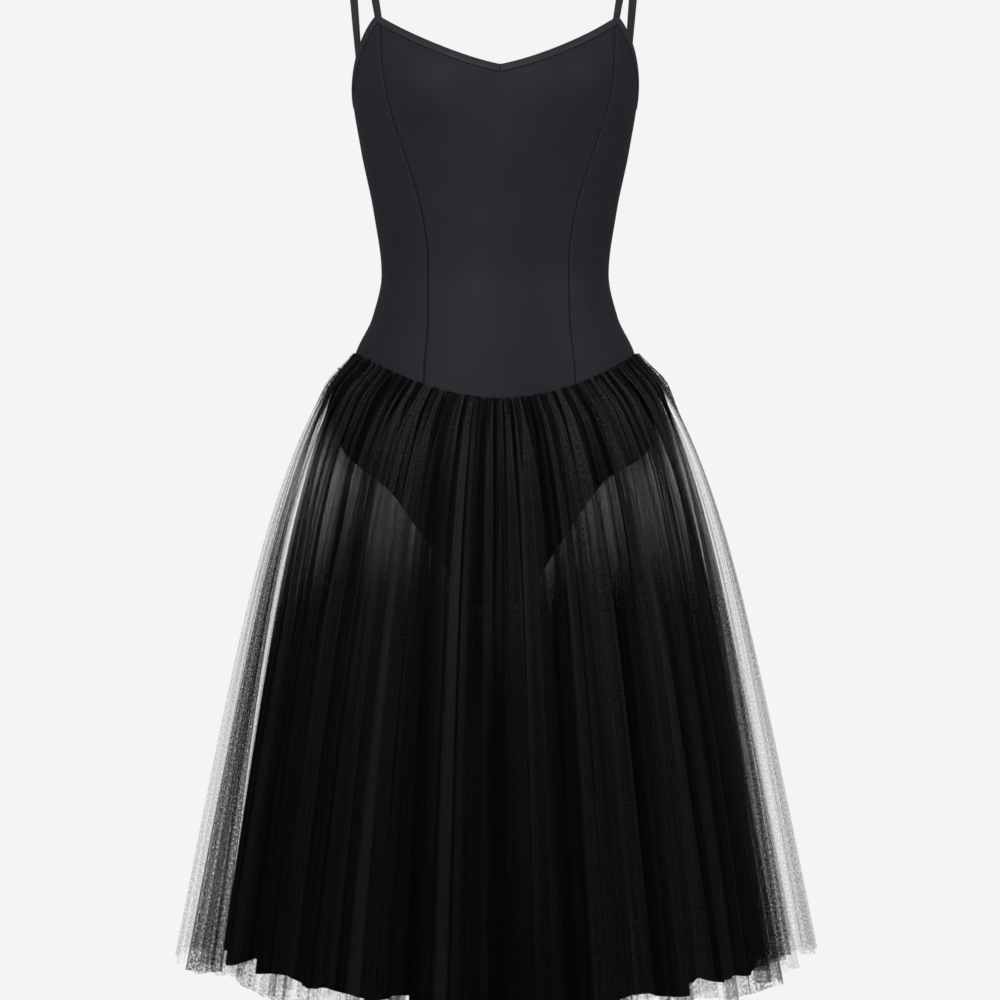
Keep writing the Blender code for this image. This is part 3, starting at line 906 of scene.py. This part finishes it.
def cones(cells, down):
    """Thread in each column: cones that open downward, a fuller fold at each side drawn as a lighter line
    (doubled cloth there, and a painted highlight), thin gaps between.
    """
    place, columns, lean, tone, opening, full = cells
    half = full * (CONE_POINT + (1 - CONE_POINT) * ramp(down, -0.05, opening))
    inside = (half - np.abs(place - lean * (1 - down))) * columns
    body = 1 / (1 + np.exp(-CONE_SHARPNESS * inside))
    fold = np.exp(-((inside / CONE_FOLD) ** 2))
    # The fold term puts extra thread along each cone's edges: doubled cloth and a painted highlight line.
    return GAP_THREAD + (tone - GAP_THREAD) * body + CONE_EDGE_HIGHLIGHT * fold * (0.4 + 0.6 * np.exp(-down / 0.3))


def fold_headings(flute, face, turned, width, length):
    """The cloth's headings across its width, turned under until it comes once round a line of that length."""
    low, high = 0.0, 2.6
    for _ in range(26):
        swing = (low + high) / 2
        heading = FLUTE_SWING * flute + face + swing * turned
        narrow = np.cos(heading).mean() * width < length
        low, high = (low, swing) if narrow else (swing, high)
    return heading


def stand_off(slopes, width, fewest):
    """How far each column stands off its ring, summed from the slopes. Waves below the fewest go."""
    line = np.cumsum(slopes) * width / TULLE_COLUMNS
    line -= np.linspace(0.0, line[-1], TULLE_COLUMNS)
    kept = 1 - np.exp(-((np.fft.rfftfreq(TULLE_COLUMNS, 1 / TULLE_COLUMNS) / fewest) ** 2))
    return np.fft.irfft(np.fft.rfft(line) * kept, TULLE_COLUMNS)


def columns_on_ring(ring, angles, along):
    """Each column's angle, place and direction outwards on a closed line round the skirt."""
    length = np.concatenate([[0.0], np.cumsum(np.linalg.norm(np.diff(ring, axis=0), axis=1))])
    place = np.mod(along, 1.0) * length[-1]
    tangent = np.gradient(ring, axis=0)
    tangent /= np.linalg.norm(tangent, axis=1, keepdims=True)
    lines = (angles, *ring.T, *tangent.T)
    angle, x, y, ahead_x, ahead_y = (np.interp(place, length, line) for line in lines)
    return angle, np.stack([x, y], axis=-1), np.stack([ahead_y, -ahead_x], axis=-1)


def add_tulle(
    name, finish, seed, width, folds, gathers, cone_count, seam_offset, hem, contrast, side_thinning=0.0
):
    """One gathered layer. The hem, given by its half width, half depth and height, is a folded line of the
    cloth's whole width. Straight rays join it to the seam, where the folds lie flat over each other and
    small gathers stand between them."""
    draw = np.random.default_rng(seed)
    flute = zigzag(draw, FLUTE_COUNT, 0.6, 1.4, TULLE_COLUMNS / FLUTE_COUNT / 14)
    face, turned = pleats(draw, folds, 1.6)
    gather = zigzag(draw, gathers, 0.3, 1.7, 1.4)
    hem_drop = HEM_WAVE * zigzag(draw, FLUTE_COUNT, 0.0, 1.0, 14.0) + HEM_NICK * face
    angles = np.linspace(0.0, 2 * math.pi, RING_STEPS + 1)
    outward = np.stack([np.sin(angles), -np.cos(angles)], axis=-1)
    basque = form(angles, basque_line(angles))[:, :2]
    hem_ring = outward * hem[:2]
    hem_length = np.linalg.norm(np.diff(hem_ring, axis=0), axis=1).sum()
    heading = fold_headings(flute, face, turned, width, hem_length)
    along = np.cumsum(np.cos(heading))
    along /= along[-1]
    out = stand_off(np.sin(heading), width, DRIFT_FOLDS)
    crimp = stand_off(gather - gather.mean(), width, GATHER_COUNT)
    gather_end = SHORTEST_GATHER + GATHER_SPREAD * (0.5 + 0.5 * zigzag(draw, folds // 2, 0.0, 1.0, 6.0))
    cells = cone_cells(draw, cone_count)
    ridge = crimp / np.abs(crimp).max()
    share = np.linspace(0.0, 1.0, TULLE_ROWS) ** 1.6
    grid = np.zeros((TULLE_ROWS, TULLE_COLUMNS, 3))
    fullness_and_painted_light = np.ones((TULLE_ROWS, TULLE_COLUMNS))
    for row, down in enumerate(share):
        opened = flare(down)
        seam_ring = basque + outward * (seam_offset * (1 + GATHER_STAND * ramp(down, 0.0, 0.06)))
        ring = seam_ring * (1 - opened) + hem_ring * opened
        angle, middle, facing = columns_on_ring(ring, angles, along)
        gathered = (1 - ramp(down, 0.0, gather_end)) * (0.25 + 0.75 * ramp(down, 0.0, 0.05))
        depth = out * (SEAM_FOLD + (1 - SEAM_FOLD) * down**CONE_GROWTH) + GATHER_DEPTH * crimp * gathered
        # Near the seam the gathers' ridges get more thread and their valleys less: painted light on the
        # ridges and painted shade in the valleys.
        change = cones(cells, down) - 1 + RIDGE_PAINTED_SHADE * ridge * (1 - ramp(down, 0.0, 0.25))
        change = (1 + contrast * change) * (1 + contrast * crease(angle, down))
        fullness_and_painted_light[row] = np.clip(change, 0.05, 3.0) * (1 - side_thinning * np.sin(angle) ** 8)
        grid[row, :, :2] = middle + facing * depth[:, None]
        top = basque_line(angle)
        hem_level = hem[2] - HEM_DIP * np.cos(angle) ** 2 + hem_drop
        grid[row, :, 2] = top + (hem_level - top) * down + SCALLOP * ridge * (1 - ramp(down, 0.0, 0.03))
    flat = np.stack(np.broadcast_arrays(COLUMN_PLACES[None, :], 1 - share[:, None]), axis=-1)
    piece = add_piece(name, grid, finish, closed=True, coordinates=flat)
    layer = piece.data.attributes.new("fullness_and_painted_light", "FLOAT", "POINT")
    layer.data.foreach_set("value", fullness_and_painted_light.reshape(-1).astype(np.float32))
    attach(piece, "root")
    return piece


OUTER_WIDTH = 3.9
MIDDLE_WIDTH = 3.6
INNER_WIDTH = 2.8
# The three nets share one black thread, but the middle and inner nets' colours are painted far darker:
# painted shade deep inside the skirt.
sheer_tulle = tulle_finish("sheer_tulle", (0.0290, 0.0270, 0.0279), 0.15, 0.095, OUTER_WIDTH, 1.0)
double_tulle = tulle_finish("double_tulle", (0.0056, 0.0052, 0.0054), 0.28, 0.32, MIDDLE_WIDTH, 0.8)
dense_tulle = tulle_finish("dense_tulle", (0.0008, 0.0008, 0.0008), 0.65, 1.50, INNER_WIDTH, 0.12)
outer = add_tulle(
    "outer_tulle", sheer_tulle, seed=11, width=OUTER_WIDTH, folds=104, gathers=170, cone_count=100,
    seam_offset=0.0026, hem=(0.314, 0.290, -1.132), contrast=1.0,
)
middle = add_tulle(
    "middle_tulle", double_tulle, seed=23, width=MIDDLE_WIDTH, folds=95, gathers=150, cone_count=84,
    seam_offset=0.0020, hem=(0.294, 0.270, -1.150), contrast=0.8,
)
inner = add_tulle(
    "inner_tulle", dense_tulle, seed=37, width=INNER_WIDTH, folds=80, gathers=130, cone_count=70,
    seam_offset=0.0012, hem=(0.268, 0.246, -1.136), contrast=0.05, side_thinning=0.25,
)
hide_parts("skirt_outer_layer")
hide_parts("skirt_middle_layer")
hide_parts("skirt_inner_layer")

# Two rows of stitches in the same black thread hold the gathers, one close under the seam and one 15 mm
# below it, where the gathers are drawn up before they are sewn.
GATHER_ROWS = (("seam_stitches", 0.0030, 0.0072, 0.0016), ("gather_stitches", 0.0150, 0.0198, 0.0020))
GATHER_STITCH_PITCH = 0.0030

for name, drop, stand, length in GATHER_ROWS:
    around = np.linspace(0.0, 2 * math.pi, RING_STEPS)
    line = form(around, basque_line(around))
    line[:, 0] += stand * np.sin(around)
    line[:, 1] -= stand * np.cos(around)
    line[:, 2] -= drop
    add_stitches(name, line, pitch=GATHER_STITCH_PITCH, length=length)
